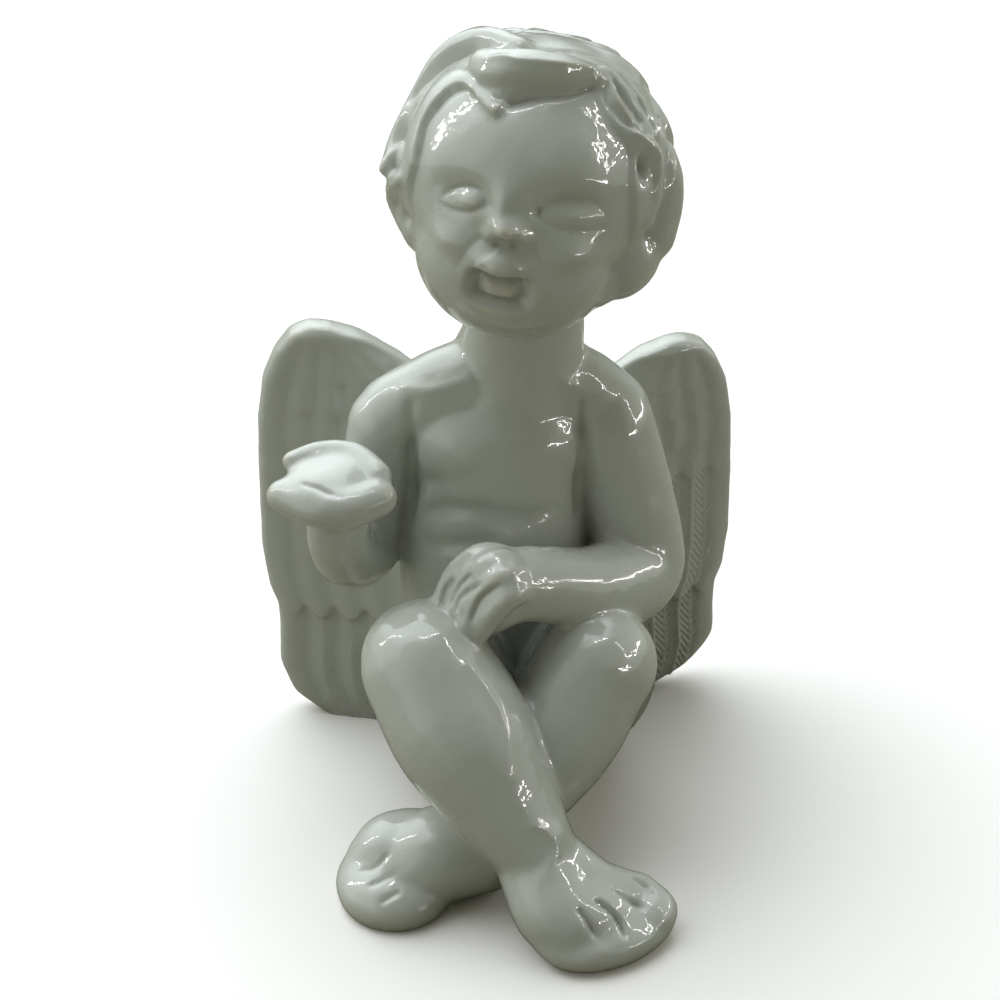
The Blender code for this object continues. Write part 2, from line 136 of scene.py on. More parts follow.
print("stage: body")
body = {
    "torsoDepth": 0.92,
    "torso": [(-0.012, 0.004, 0.090, 0.128), (-0.019, -0.002, 0.190, 0.126),
              (-0.026, -0.008, 0.300, 0.124),
              (-0.024, -0.002, 0.400, 0.118), (-0.016, 0.000, 0.490, 0.106),
              (0.000, -0.002, 0.560, 0.082),
              (0.009, -0.006, 0.640, 0.072)],
    "limbs": {
        "nape": [(0.012, 0.026, 0.700, 0.052), (0.010, 0.022, 0.640, 0.060),
                 (0.002, 0.022, 0.580, 0.078),
                 (-0.012, 0.018, 0.500, 0.094)],
        "shoulders": [(-0.146, 0.004, 0.522, 0.050), (-0.080, 0.000, 0.552, 0.054),
                      (0.000, -0.006, 0.568, 0.062),
                      (0.066, -0.010, 0.550, 0.054), (0.112, -0.020, 0.518, 0.052)],
        "rightThigh": [(-0.078, -0.006, 0.088, 0.100), (-0.110, -0.110, 0.205, 0.094),
                       (-0.138, -0.204, 0.296, 0.078)],
        "rightShin": [(-0.138, -0.208, 0.292, 0.078), (-0.100, -0.256, 0.226, 0.084),
                      (-0.059, -0.298, 0.158, 0.067),
                      (-0.026, -0.330, 0.104, 0.052)],
        "leftThigh": [(0.060, 0.000, 0.088, 0.100), (0.070, -0.110, 0.190, 0.090),
                      (0.072, -0.192, 0.266, 0.074)],
        "leftShin": [(0.068, -0.194, 0.262, 0.073), (0.020, -0.222, 0.190, 0.074),
                     (-0.034, -0.244, 0.118, 0.060),
                     (-0.080, -0.262, 0.070, 0.052)],
        "rightArm": [(-0.160, 0.000, 0.512, 0.047), (-0.180, -0.006, 0.420, 0.043),
                     (-0.190, -0.010, 0.348, 0.044),
                     (-0.214, -0.058, 0.366, 0.043), (-0.228, -0.094, 0.412, 0.039),
                     (-0.226, -0.104, 0.455, 0.037)],
        "leftArm": [(0.112, -0.026, 0.506, 0.055), (0.135, -0.042, 0.415, 0.056),
                    (0.143, -0.066, 0.322, 0.060),
                    (0.078, -0.134, 0.336, 0.054), (0.010, -0.172, 0.372, 0.046),
                    (-0.030, -0.187, 0.384, 0.045),
                    (-0.068, -0.194, 0.370, 0.043)],
        "rightFoot": [(-0.022, -0.340, 0.086, 0.050), (-0.002, -0.380, 0.048, 0.053),
                      (0.040, -0.378, 0.036, 0.048),
                      (0.076, -0.372, 0.024, 0.036)],
        "instep": [(-0.018, -0.332, 0.094, 0.046), (0.036, -0.350, 0.050, 0.042),
                   (0.092, -0.356, 0.032, 0.034)],
        "leftFoot": [(-0.080, -0.260, 0.056, 0.058), (-0.134, -0.262, 0.050, 0.060),
                     (-0.176, -0.264, 0.032, 0.050)],
    },
    "balls": [((-0.018, -0.004, 0.490), (0.128, 0.092, 0.088), (0, 0, 0)),       # chest
              # front of the right foot
              ((0.104, -0.370, 0.030), (0.036, 0.042, 0.030), (20, 0, 0)),
              ((0.008, -0.390, 0.030), (0.052, 0.048, 0.036), (20, 0, 0)),
              # front of the left foot
              ((-0.192, -0.242, 0.034), (0.054, 0.046, 0.043), (0, 0, 0)),
              ((-0.170, -0.242, 0.045), (0.068, 0.054, 0.050), (0, 0, 0)),
              ((0.054, -0.388, 0.020), (0.090, 0.054, 0.036), (20, 0, 0)),       # right sole
              ((-0.186, -0.266, 0.018), (0.074, 0.078, 0.045), (0, 0, 0)),       # left sole
              ((-0.014, -0.346, 0.132), (0.026, 0.020, 0.026), (0, 0, 0))],      # ankle bone
}


def addBody(skin):
    addLimb(skin, body["torso"], flatten=body["torsoDepth"])
    for masses in body["limbs"].values():
        addLimb(skin, masses)
    for centre, radii, turn in body["balls"]:
        addBall(skin, centre, radii, turn)


print("stage: feet and hands")
toes = {
    "heights": {"right": (0.045, 0.030), "left": (0.038, 0.028)},    # of root and tip
    "right": [(0.100, -0.352, 0.120, -0.374, 0.023), (0.083, -0.354, 0.109, -0.388, 0.015),
              (0.058, -0.362, 0.086, -0.401, 0.015), (0.035, -0.376, 0.060, -0.417, 0.016),
              (0.012, -0.398, 0.034, -0.432, 0.014)],
    "left": [(-0.180, -0.222, -0.214, -0.226, 0.027), (-0.196, -0.238, -0.236, -0.240, 0.014),
             (-0.192, -0.262, -0.232, -0.263, 0.014), (-0.187, -0.290, -0.226, -0.290, 0.016),
             (-0.181, -0.318, -0.214, -0.319, 0.015)],
}
hands = {
    "palm": ((-0.228, -0.111, 0.485), (0.068, 0.057, 0.033), (6, 15, 0)),
    "thumb": [(-0.179, -0.115, 0.503, 0.017), (-0.206, -0.076, 0.512, 0.016),
              (-0.245, -0.062, 0.511, 0.014),
              (-0.279, -0.073, 0.508, 0.012)],
    "fingers": [(-0.181, -0.138, 0.486, 0.022), (-0.220, -0.146, 0.481, 0.025),
                (-0.262, -0.130, 0.480, 0.024),
                (-0.291, -0.109, 0.482, 0.021)],
    "wrists": [(-0.014, -0.176, 0.398), (-0.014, -0.188, 0.400), (-0.014, -0.198, 0.396),
               (-0.014, -0.208, 0.388)],
    "knuckles": [(-0.058, -0.178, 0.421), (-0.050, -0.201, 0.425), (-0.043, -0.220, 0.419),
                 (-0.038, -0.233, 0.402)],
    "bends": [(-0.092, -0.172, 0.398), (-0.081, -0.196, 0.402), (-0.070, -0.217, 0.396),
              (-0.060, -0.232, 0.378)],
    "tips": [(-0.117, -0.183, 0.358), (-0.105, -0.206, 0.354), (-0.092, -0.222, 0.350),
             (-0.078, -0.228, 0.346)],
    "radii": [0.0178, 0.0178, 0.0168, 0.0155],
}


def addToes(skin):
    for side, (root, tip) in toes["heights"].items():
        for x, y, tipX, tipY, radius in toes[side]:
            addLimb(skin, [(x, y, root, radius * 0.9), (tipX, tipY, tip, radius)], sides=20)


def addHands(skin):
    addBall(skin, *hands["palm"])
    addLimb(skin, hands["thumb"], sides=24)
    addLimb(skin, hands["fingers"], sides=24)
    fingers = zip(hands["wrists"], hands["knuckles"], hands["bends"], hands["tips"], hands["radii"])
    for wrist, knuckle, bend, tip, radius in fingers:
        addLimb(skin, [(*wrist, radius), (*knuckle, radius), (*bend, radius * 0.95),
                       (*tip, radius * 0.85)], sides=20)


print("stage: head and hair")
# Places on the head are (longitude, latitude, distance), with longitude 0 on the nose.
head = {
    "centre": (0.014, -0.010, 0.821),
    "turn": (-15.0, -10.0, 8.5),
    "skull": 0.148,
    "jaw": ((0, -62, 0.084), (0.116, 0.106, 0.104)),
    "jawCorner": ((70, -44, 0.110), (0.060, 0.056, 0.058)),
    "ears": [((86, -26, 0.126), (0.052, 0.060, 0.064)), ((-84, -28, 0.112), (0.046, 0.056, 0.060))],
    "cheeks": [((-36, -34, 0.090), (0.066, 0.064, 0.062)), ((36, -34, 0.090), (0.066, 0.064, 0.062))],
    "reach": (0.09, 0.22),  # what lies this far from the centre belongs to the head
    "lowest": -0.17,
}
hair = {
    "radius": 0.158,
    "back": 0.016,
    "locks": {
        "fringe": [(-46, 54, 0.152, 0.022), (-30, 54, 0.152, 0.027), (-10, 57, 0.152, 0.026),
                   (12, 59, 0.151, 0.023),
                   (32, 60, 0.150, 0.018), (46, 60, 0.148, 0.012)],
        "leftOuter": [(-40, 70, 0.152, 0.018), (-84, 60, 0.161, 0.020), (-90, 44, 0.161, 0.019),
                      (-88, 24, 0.152, 0.016), (-82, 4, 0.157, 0.014), (-77, -5, 0.167, 0.009)],
        "leftBelow": [(-64, -6, 0.148, 0.010), (-74, -10, 0.151, 0.014), (-84, -18, 0.152, 0.017),
                      (-84, -30, 0.148, 0.017)],
        "leafInner": [(44, 56, 0.152, 0.010), (46, 46, 0.150, 0.011), (50, 37, 0.149, 0.012),
                      (56, 31, 0.148, 0.011)],
        "leafOuter": [(48, 60, 0.152, 0.014), (63, 54, 0.152, 0.016), (70, 42, 0.152, 0.015),
                      (68, 32, 0.150, 0.013)],
        "curl": [(54, 30, 0.148, 0.009), (62, 27, 0.150, 0.012), (69, 20, 0.151, 0.013),
                 (70, 8, 0.150, 0.013),
                 (66, -4, 0.146, 0.011)],
        "rightOuter": [(78, 34, 0.150, 0.018), (84, 16, 0.144, 0.030), (88, 2, 0.144, 0.034),
                       (88, -14, 0.148, 0.034)],
    },
    "napeRings": [(62, 6), (32, 8), (2, 8)],
    "napeFrom": 100,
    "strandDepth": 0.0010,
    "napeStrands": 1.2,     # how much deeper they are cut at the back
    "strandReach": 0.16,    # the locks' distance from the head's centre
    "strandEdge": 0.85,     # share of the lock's radius
    "strandGap": 0.70,      # share of the lock's radius
    # The hair line round the face, and how high the hair stands along it.
    "line": [(-58, -20), (-53, 4), (-54, 12), (-56, 21), (-56.0, 28.8), (-53.5, 36.1), (-49.3, 40.2),
             (-43.5, 41.1), (-36.1, 39.6), (-28.7, 36.5), (-23.0, 34.0), (-19.5, 33.1), (-17.6, 34.2),
             (-16.8, 37.0), (-15.6, 40.9), (-11.3, 45.3), (-5.1, 47.8), (2, 48), (19, 51), (36, 54),
             (43, 52), (44, 45), (51, 35), (53, 25), (52, 12), (55, 0), (60, -15)],
    "lineHeight": 0.0068,
    "lineStep": (-0.005, 0.006),        # its slope at the face, and where it sinks into the hair
    "lineFade": (0.015, 0.055),
    "lineEnds": (95, 120),
    "hollows": [(-79, 8, 0.0075, 0.0170, -0.010), (58, 19, 0.0065, 0.0150, -0.011)],
    "strokes": [
        (0.0042, -0.0050, [(-70, 59), (-79, 48), (-82, 39), (-84, 27), (-85, 21)]),       # left side
        (0.0042, -0.0030, [(-44, 41), (-52, 36), (-55, 27), (-56, 20), (-54, 12), (-53, 4)]),
        # under the fringe
        (0.0060, -0.0050, [(-24, 40), (-12, 42), (2, 48), (19, 51), (36, 55)]),
        (0.0030, 0.0025, [(-36, 50), (-27, 52), (-15, 52), (-1, 54), (16, 56), (39, 58)]),
        (0.0030, -0.0025, [(-34, 60), (-14, 61), (8, 64), (30, 66)]),
        (0.0036, -0.0050, [(53, 58), (62, 51), (66, 43), (68, 36), (71, 31)]),            # leaf lock
        (0.0036, -0.0050, [(44, 54), (44, 45), (51, 36), (62, 31)]),
        (0.0024, -0.0040, [(49, 55), (55, 48), (60, 40), (62, 36)]),
        # curl before the ear
        (0.0044, 0.0040, [(51, 32), (60, 29), (64, 24), (66, 16), (65, 6)]),
        (0.0046, -0.0045, [(98, 36), (84, 28), (77, 18), (75, 6)]),
        (0.0036, -0.0030, [(-60, 72), (-20, 74), (30, 76), (80, 68)]),                    # crown
        (0.0036, -0.0030, [(-90, 68), (-110, 74), (170, 80), (110, 66)]),
    ],
}
headTurn = np.array(turned(head["turn"]))[:3, :3]


def onHead(longitude, latitude, distance):
    lon = math.radians(longitude)
    lat = math.radians(latitude)
    local = np.array((math.cos(lat) * math.sin(lon), -math.cos(lat) * math.cos(lon), math.sin(lat)))
    return Vector(np.array(head["centre"]) + headTurn @ local * distance)


def overHair(longitude, latitude, out):
    facing = onHead(longitude, latitude, 1.0) - Vector(head["centre"])
    offset = onHead(180, 12, hair["back"]) - Vector(head["centre"])
    along = facing.dot(offset)
    surface = along + math.sqrt(hair["radius"]**2 - offset.length_squared + along**2)
    return onHead(longitude, latitude, surface + out)


def addHead(skin):
    addBall(skin, head["centre"], (head["skull"],) * 3, head["turn"])
    addBall(skin, onHead(180, 12, hair["back"]), (hair["radius"],) * 3, head["turn"])
    for part in ("jaw", "jawCorner"):
        addBall(skin, onHead(*head[part][0]), head[part][1], head["turn"])
    for place, radii in head["ears"] + head["cheeks"]:
        addBall(skin, onHead(*place), radii, head["turn"])


def napeLocks():
    locks = []
    for latitude, count in hair["napeRings"]:
        for k in range(count):
            longitude = hair["napeFrom"] + (360 - 2 * hair["napeFrom"]) * (k + 0.5) / count
            sweep = 10 if longitude > 180 else -10
            locks.append([(longitude, latitude + 14, -0.011, 0.014),
                          (longitude + sweep, latitude, -0.011, 0.020),
                          (longitude, latitude - 14, -0.009, 0.017),
                          (longitude - sweep, latitude - 26, -0.006, 0.010)])
    return locks


def addHair(skin):
    for lock in hair["locks"].values():
        addLimb(skin, [(*onHead(lon, lat, far), radius) for lon, lat, far, radius in lock], sides=20,
                steps=6)
    for lock in napeLocks():
        addLimb(skin, [(*overHair(*place[:3]), place[3]) for place in lock], sides=20, steps=6)


print("stage: wings")
# The outline is (height, inner x, outer x).
# A tier is (height of its tips, feathers, length, lift, rounding, barbs).
wings = {
    "outline": [(-0.010, 0.060, 0.262), (0.030, 0.044, 0.296), (0.080, 0.040, 0.306),
                (0.140, 0.036, 0.303),
                (0.172, 0.036, 0.304), (0.200, 0.036, 0.314), (0.260, 0.036, 0.320),
                (0.360, 0.036, 0.318),
                (0.450, 0.044, 0.314), (0.510, 0.080, 0.304), (0.550, 0.130, 0.287),
                (0.575, 0.176, 0.268),
                (0.587, 0.218, 0.244)],
    "corner": {-1: 0.020, 1: 0.085},   # how far the lower outer corner is rounded in
    "cornerHeight": 0.110,
    "footY": 0.132,
    "topY": 0.142,
    "half": 0.022,
    "splay": 0.25,
    "splayFrom": 0.24,
    "root": [(0.070, 0.056, 0.480, 0.040), (0.064, 0.062, 0.400, 0.046), (0.060, 0.062, 0.300, 0.044)],
    "scales": {-1: 1.0, 1: 0.915},
    "tiers": [(-0.030, 7, 0.200, 0.006, 0.010, 1.0), (0.160, 7, 0.220, 0.008, 0.022, 0.45),
              (0.365, 7, 0.080, 0.0035, 0.016, 0.15), (0.415, 8, 0.070, 0.0030, 0.016, 0.10),
              (0.465, 7, 0.070, 0.0025, 0.016, 0.10), (0.510, 6, 0.070, 0.0020, 0.014, 0.10)],
    "depth": {-1: 0.90, 1: 1.0},        # how boldly each wing is carved
    "barbShare": {-1: 0.15, 1: 1.0},
    "crown": 0.005,
    "rimWidth": 0.030,
    "rimLift": 0.008,
    "barbDepth": 0.0034,
    "barbGap": 0.0120,
    "barbSlant": 1.7,
    "quillRidge": 0.0024,
    "quillWidth": 0.09,
    "quillGap": 0.10,                   # bare strip beside a quill, as a share of half a feather
    "barbFade": 6,
    "barbStart": 0.010,
    "span": 0.27,
    "barbsAcross": (0.05, 0.20, 0.86, 0.93),    # fading in and out across the wing
    "barbsUp": (0.50, 0.56),
    "barbsOutwards": (0.08, 0.11),
    "barbsDeep": 0.045,
    "barbsFacing": 0.6,
    "sides": 180,
    "layers": 240,
    "edgeRounding": (0.8, 0.4),
    "topGap": 0.004,
    "inset": 0.006,
}


def outlineAt(height):
    heights, inner, outer = zip(*wings["outline"])
    return np.interp(height, heights, inner), np.interp(height, heights, outer)


def middleAt(height, outwards):
    highest = wings["outline"][-1][0]
    upright = wings["footY"] + (wings["topY"] - wings["footY"]) * height / highest
    return upright + (outwards - wings["splayFrom"]) * wings["splay"]


def featherRelief(across, height, fine):
    # How far the wing's face stands out; fine gives only the quills and barbs.
    lift = np.zeros_like(across)
    for tip, count, length, rise, rounding, barbs in wings["tiers"]:
        where = across * count % 1.0 * 2 - 1
        above = height - (tip + rounding * where**2)
        if fine:
            slanted = height + np.abs(where) * wings["barbSlant"] * 0.5 * wings["span"] / count
            slanted = slanted / wings["barbGap"]
            barb = -wings["barbDepth"] * barbs * (0.5 + 0.5 * np.cos(2 * np.pi * slanted))
            shown = np.clip((np.abs(where) - wings["quillGap"]) * wings["barbFade"], 0, 1)
            shown = shown * np.clip((1 - np.abs(where)) * wings["barbFade"], 0, 1)
            shown = shown * np.clip(above / wings["barbStart"], 0, 1)
            here = barb * shown + wings["quillRidge"] * barbs * np.exp(-(where / wings["quillWidth"])**2)
        else:
            here = rise * np.clip(1 - above / length, 0, 1) + wings["crown"] * (1 - where**2)
        lift = np.where(above > 0, here, lift)
    return lift


def addWing(skin, side):
    rings = []
    highest = wings["outline"][-1][0]
    turns = 2 * np.pi * np.arange(wings["sides"]) / wings["sides"]
    alongRounding, deepRounding = wings["edgeRounding"]
    along = np.sign(np.cos(turns)) * np.abs(np.cos(turns))**alongRounding
    deep = np.sign(np.sin(turns)) * np.abs(np.sin(turns))**deepRounding
    across = (along + 1) / 2
    for height in np.linspace(wings["outline"][0][0], highest, wings["layers"]):
        inner, outer = outlineAt(height)
        outer -= wings["corner"][side] * max(0.0, 1 - height / wings["cornerHeight"])**3
        toTop = max(0.0, min(1.0, (highest + wings["topGap"] - height) / wings["half"]))
        half = wings["half"] * math.sqrt(1 - (1 - toTop)**2)
        fromEdge = np.minimum((1 - across) * (outer - inner), highest - height)
        rim = wings["rimLift"] * np.clip(1 - (fromEdge / wings["rimWidth"])**4, 0, 1)
        relief = featherRelief(across, np.full_like(across, height), False) * wings["depth"][side]
        outwards = inner + (outer - inner) * across
        back = middleAt(height, outwards) + (half - wings["inset"] + np.maximum(rim, relief)) * deep
        tall = height * wings["scales"][side]
        rings.append(addRing(skin, [share((side * x, y, tall)) for x, y in zip(outwards, back)]))
    closeStack(skin, rings)
    addLimb(skin, [(side * x, y, z, radius) for x, y, z, radius in wings["root"]])


print("stage: clay")


def joinEdges(mesh):
    edges = np.empty(len(mesh.edges) * 2, np.int32)
    mesh.edges.foreach_get("vertices", edges)
    return edges.reshape(-1, 2)


def readPlaces(mesh):
    places = np.empty(len(mesh.vertices) * 3, np.float32)
    mesh.vertices.foreach_get("co", places)
    return places.reshape(-1, 3).astype(float) / figure["height"]


def readNormals(mesh):
    normals = np.empty(len(mesh.vertices) * 3, np.float32)
    mesh.vertices.foreach_get("normal", normals)
    return normals.reshape(-1, 3).astype(float)


def writePlaces(mesh, places):
    mesh.vertices.foreach_set("co", (places * figure["height"]).astype(np.float32).ravel())
    mesh.update()


def aroundMean(values, edges, count):
    # mean of the neighbours' values at each vertex
    total = np.empty_like(values)
    for axis in range(values.shape[1]):
        column = values[:, axis]
        total[:, axis] = (np.bincount(edges[:, 0], column[edges[:, 1]], len(values))
                          + np.bincount(edges[:, 1], column[edges[:, 0]], len(values)))
    return total / count[:, None]


def relax(places, edges, weight, rounds):
    count = np.maximum(np.bincount(edges.ravel(), minlength=len(places)), 1)
    for _ in range(rounds):
        places += (aroundMean(places, edges, count) - places) * weight[:, None]


def keepOuterSkin(mesh):
    # drops the skins of pockets shut inside the clay
    edges = joinEdges(mesh)
    label = np.arange(len(mesh.vertices))
    while True:
        low = np.minimum(label[edges[:, 0]], label[edges[:, 1]])
        new = label.copy()
        np.minimum.at(new, edges[:, 0], low)
        np.minimum.at(new, edges[:, 1], low)
        new = new[new]
        if (new == label).all():
            break
        label = new
    names, sizes = np.unique(label, return_counts=True)
    if len(names) == 1:
        return
    keep = names[np.argmax(sizes)]
    skin = bmesh.new()
    skin.from_mesh(mesh)
    skin.verts.ensure_lookup_table()
    bmesh.ops.delete(skin, geom=[skin.verts[i] for i in np.nonzero(label != keep)[0]], context="VERTS")
    skin.to_mesh(mesh)
    skin.free()


def ramp(values, low, high):
    t = np.clip((values - low) / (high - low), 0, 1)
    return t * t * (3 - 2 * t)


def fineZones(places):
    # 0 on the plain body, and up to 1 where a part keeps its sharpness
    fine = np.zeros(len(places))
    for centre, inner, outer, kept in figure["sharp"]:
        away = np.linalg.norm(places - np.array(centre), axis=1)
        fine = np.maximum(fine, kept * (1 - ramp(away, inner, outer)))
    outwards = np.abs(places[:, 0])
    behind = ramp(places[:, 1] - middleAt(places[:, 2], outwards), *figure["wingsBehind"])
    behind = behind * ramp(outwards, *figure["wingsOutwards"])
    return np.maximum(fine, figure["sharpWings"] * behind)


print("stage: modelling")
# Pushes on the face: (longitude, latitude, reach across, reach up, push outwards).
face = {
    "pushes": [(-25, -2, 0.034, 0.019, -0.0115), (24, 1, 0.038, 0.021, -0.0120),     # eye sockets
               (-22, -4, 0.019, 0.0110, 0.0095), (26, -2, 0.024, 0.0115, 0.0085),    # eyeballs
               # their inner corners
               (-13, -4, 0.0065, 0.0060, -0.0030), (10, -3, 0.0070, 0.0075, -0.0050),
               (-5, -2, 0.0130, 0.022, 0.007), (-2, -11.5, 0.0165, 0.0115, 0.0195),  # nose
               (-9.5, -16, 0.0080, 0.0070, 0.0055), (6.5, -15, 0.0080, 0.0070, 0.0055),  # its wings
               (-5, -19.5, 0.0040, 0.0030, -0.0030), (2, -19, 0.0040, 0.0030, -0.0030),
               (-2.5, -25.5, 0.0215, 0.0100, 0.0150),                                # upper lip
               (3, -55, 0.030, 0.020, 0.003),                                        # chin
               (-29, -21, 0.028, 0.0140, 0.0095), (29, -19, 0.036, 0.0145, 0.0115)],  # cheeks
    "mouth": {"place": (-1.5, -36.8), "across": 0.0290, "up": 0.0165, "depth": 0.026, "sharpness": 1.5},
    "tongue": {"place": (-1.5, -38.0), "across": 0.0210, "up": 0.0095, "depth": -0.0180,
               "sharpness": 1.2},
    "hollows": [(-69, -24, 0.0090, 0.0100, -0.010), (73, -13, 0.0100, 0.0120, -0.011)],    # in the ears
    # Strokes: (half width, push, places as longitude and latitude).
    "strokes": [
        # upper lid creases
        (0.0032, -0.0022, [(-37, -7), (-31, -1.5), (-24, 1.5), (-17, 1.5), (-13, -3)]),
        (0.0036, -0.0016, [(10, -3), (16, 3), (25, 5.5), (34, 4.5), (41, -1)]),
        # under the lids
        (0.0030, -0.0022, [(-39, -9), (-29, -10.5), (-21, -9), (-14, -5)]),
        (0.0034, -0.0018, [(10, -5), (19, -8.5), (32, -9), (44, -6)]),
        # lip edge
        (0.0022, 0.0022, [(-12, -28.5), (-10, -25), (-5, -23), (1, -23), (6, -25), (8, -28)]),
        # groove under the nose
        (0.0024, -0.0020, [(-2, -19), (-2.2, -22)]),
        # beside the mouth
        (0.0050, -0.0020, [(-12, -17), (-18, -24), (-22, -32)]),
        (0.0050, -0.0020, [(10, -16), (15, -23), (19, -31)]),
    ],
}
# Creases and ridges pressed into the skin: (half width, push, places).
marks = [
    (0.0110, -0.0046, [(-0.125, -0.055, 0.412), (-0.097, -0.082, 0.432), (-0.059, -0.100, 0.438),
                       (0.000, -0.105, 0.427), (0.039, -0.090, 0.433)]),                  # belly folds
    (0.0110, -0.0040, [(-0.124, -0.068, 0.375), (-0.081, -0.099, 0.391), (-0.038, -0.110, 0.401)]),
    # arm creases
    (0.0080, -0.0060, [(-0.132, -0.040, 0.562), (-0.133, -0.044, 0.498), (-0.137, -0.037, 0.394)]),
    (0.0080, -0.0060, [(0.071, -0.062, 0.560), (0.070, -0.070, 0.496), (0.067, -0.070, 0.404)]),
    # collar bones
    (0.0080, 0.0030, [(-0.145, -0.024, 0.570), (-0.108, -0.042, 0.573), (-0.060, -0.050, 0.590)]),
    (0.0080, 0.0030, [(0.030, -0.062, 0.600), (0.075, -0.061, 0.566), (0.110, -0.050, 0.556)]),
    # front toes
    (0.0036, -0.0065, [(0.013, -0.417, 0.082), (0.023, -0.424, 0.068), (0.034, -0.434, 0.048)]),
    (0.0036, -0.0070, [(0.035, -0.404, 0.082), (0.049, -0.409, 0.072), (0.063, -0.416, 0.054),
                       (0.069, -0.428, 0.041)]),
    (0.0036, -0.0065, [(0.060, -0.381, 0.077), (0.074, -0.386, 0.067), (0.092, -0.390, 0.052),
                       (0.100, -0.402, 0.040)]),
    (0.0032, -0.0055, [(0.088, -0.354, 0.070), (0.105, -0.367, 0.060), (0.118, -0.388, 0.045)]),
    # back toes
    (0.0040, -0.0030, [(-0.209, -0.214, 0.049), (-0.222, -0.216, 0.047), (-0.238, -0.218, 0.042)]),
    (0.0040, -0.0030, [(-0.190, -0.256, 0.080), (-0.206, -0.262, 0.068), (-0.224, -0.252, 0.056),
                       (-0.240, -0.246, 0.046)]),
    (0.0040, -0.0030, [(-0.193, -0.280, 0.076), (-0.212, -0.286, 0.061), (-0.232, -0.280, 0.050)]),
    (0.0040, -0.0030, [(-0.189, -0.304, 0.064), (-0.207, -0.306, 0.056), (-0.222, -0.306, 0.047)]),
    (0.0040, -0.0028, [(-0.186, -0.322, 0.050), (-0.200, -0.326, 0.045), (-0.210, -0.328, 0.040)]),
    # fingers
    (0.0036, -0.0042, [(-0.101, -0.190, 0.402), (-0.112, -0.190, 0.386), (-0.118, -0.200, 0.371)]),
    (0.0036, -0.0045, [(-0.083, -0.208, 0.417), (-0.101, -0.206, 0.395), (-0.108, -0.211, 0.377)]),
    (0.0036, -0.0045, [(-0.073, -0.224, 0.414), (-0.093, -0.216, 0.395), (-0.104, -0.217, 0.373)]),
    (0.0036, -0.0042, [(-0.052, -0.235, 0.418), (-0.074, -0.232, 0.398), (-0.087, -0.234, 0.369)]),
    (0.0032, -0.0032, [(-0.271, -0.127, 0.507), (-0.253, -0.140, 0.507), (-0.234, -0.152, 0.501),
                       (-0.206, -0.162, 0.494)]),
    # wrists
    (0.0045, -0.0040, [(-0.196, -0.130, 0.444), (-0.222, -0.146, 0.440), (-0.250, -0.134, 0.440)]),
    # shin
    (0.0090, 0.0035, [(-0.095, -0.262, 0.335), (-0.060, -0.300, 0.275), (-0.060, -0.342, 0.215)]),
    (0.0070, 0.0028, [(-0.037, -0.362, 0.167), (-0.016, -0.359, 0.156), (-0.005, -0.366, 0.134),
                      (-0.013, -0.378, 0.120),
                      (-0.032, -0.393, 0.103)]),                                          # ankle
    # spine
    (0.0100, -0.0060, [(-0.010, 0.110, 0.520), (-0.018, 0.112, 0.400), (-0.018, 0.110, 0.280)]),
]
dents = [  # broad hollows and bulges: centre, reach, push
    ((-0.250, -0.100, 0.517), 0.024, -0.0040),       # palm
    ((-0.128, -0.262, 0.346), 0.040, 0.0040),        # knees
    ((0.074, -0.246, 0.312), 0.038, 0.0040),
    ((-0.070, -0.080, 0.500), 0.048, 0.0030),        # chest
    ((0.026, -0.090, 0.500), 0.048, 0.0030),
    ((-0.022, -0.112, 0.405), 0.014, 0.0030),
]


def lineDistance(places, path):
    # distance to a run of places, the share along it, and the nearest stretch's direction
    near = np.full(len(places), 9.0)
    share01 = np.zeros(len(places))
    heading = np.zeros_like(places)
    for i, (start, end) in enumerate(zip(path, path[1:])):
        along = end - start
        part = np.clip((places - start) @ along / (along @ along), 0, 1)
        away = np.linalg.norm(places - start - part[:, None] * along, axis=1)
        closer = away < near
        near[closer] = away[closer]
        share01[closer] = (i + part[closer]) / (len(path) - 1)
        heading[closer] = along / np.linalg.norm(along)
    return near, share01, heading


def endTaper(share01):
    return np.sqrt(np.clip(1 - (2 * share01 - 1)**4, 0, 1)) * 0.85 + 0.15


def curveOf(path, steps=6):
    return [np.array(point) for point in smoothRun(path, steps)]


def pressMark(places, normals, halfWidth, push, path):
    line = curveOf(path)
    lowest = np.min(line, axis=0) - 4 * halfWidth
    highest = np.max(line, axis=0) + 4 * halfWidth
    near = np.nonzero(((places > lowest) & (places < highest)).all(axis=1))[0]
    away, share01, _ = lineDistance(places[near], line)
    places[near] += normals[near] * (push * np.exp(-(away / halfWidth)**2) * endTaper(share01))[:, None]


def pressDent(places, normals, centre, reach, push):
    away = np.linalg.norm(places - np.array(centre), axis=1)
    places += normals * (push * np.exp(-(away / reach)**2))[:, None]


def headDirections(places):
    # unit directions from the head's centre in its own frame, and which vertices belong to the head
    offset = places - np.array(head["centre"])
    far = np.linalg.norm(offset, axis=1)
    unit = offset @ headTurn / np.maximum(far, 1e-6)[:, None]
    nearest, farthest = head["reach"]
    return unit, np.nonzero((far > nearest) & (far < farthest) & (offset[:, 2] > head["lowest"]))[0]


def direction(longitude, latitude):
    lon = math.radians(longitude)
    lat = math.radians(latitude)
    return np.array((math.cos(lat) * math.sin(lon), -math.cos(lat) * math.cos(lon), math.sin(lat)))


def awayOnHead(unit, longitude, latitude):
    # steps east and north of a place on the head, in shares of the height
    out = direction(longitude, latitude)
    north = direction(longitude, latitude + 90)
    east = np.cross(north, out)
    facing = unit @ out > 0.6
    return unit @ east * head["skull"], unit @ north * head["skull"], facing


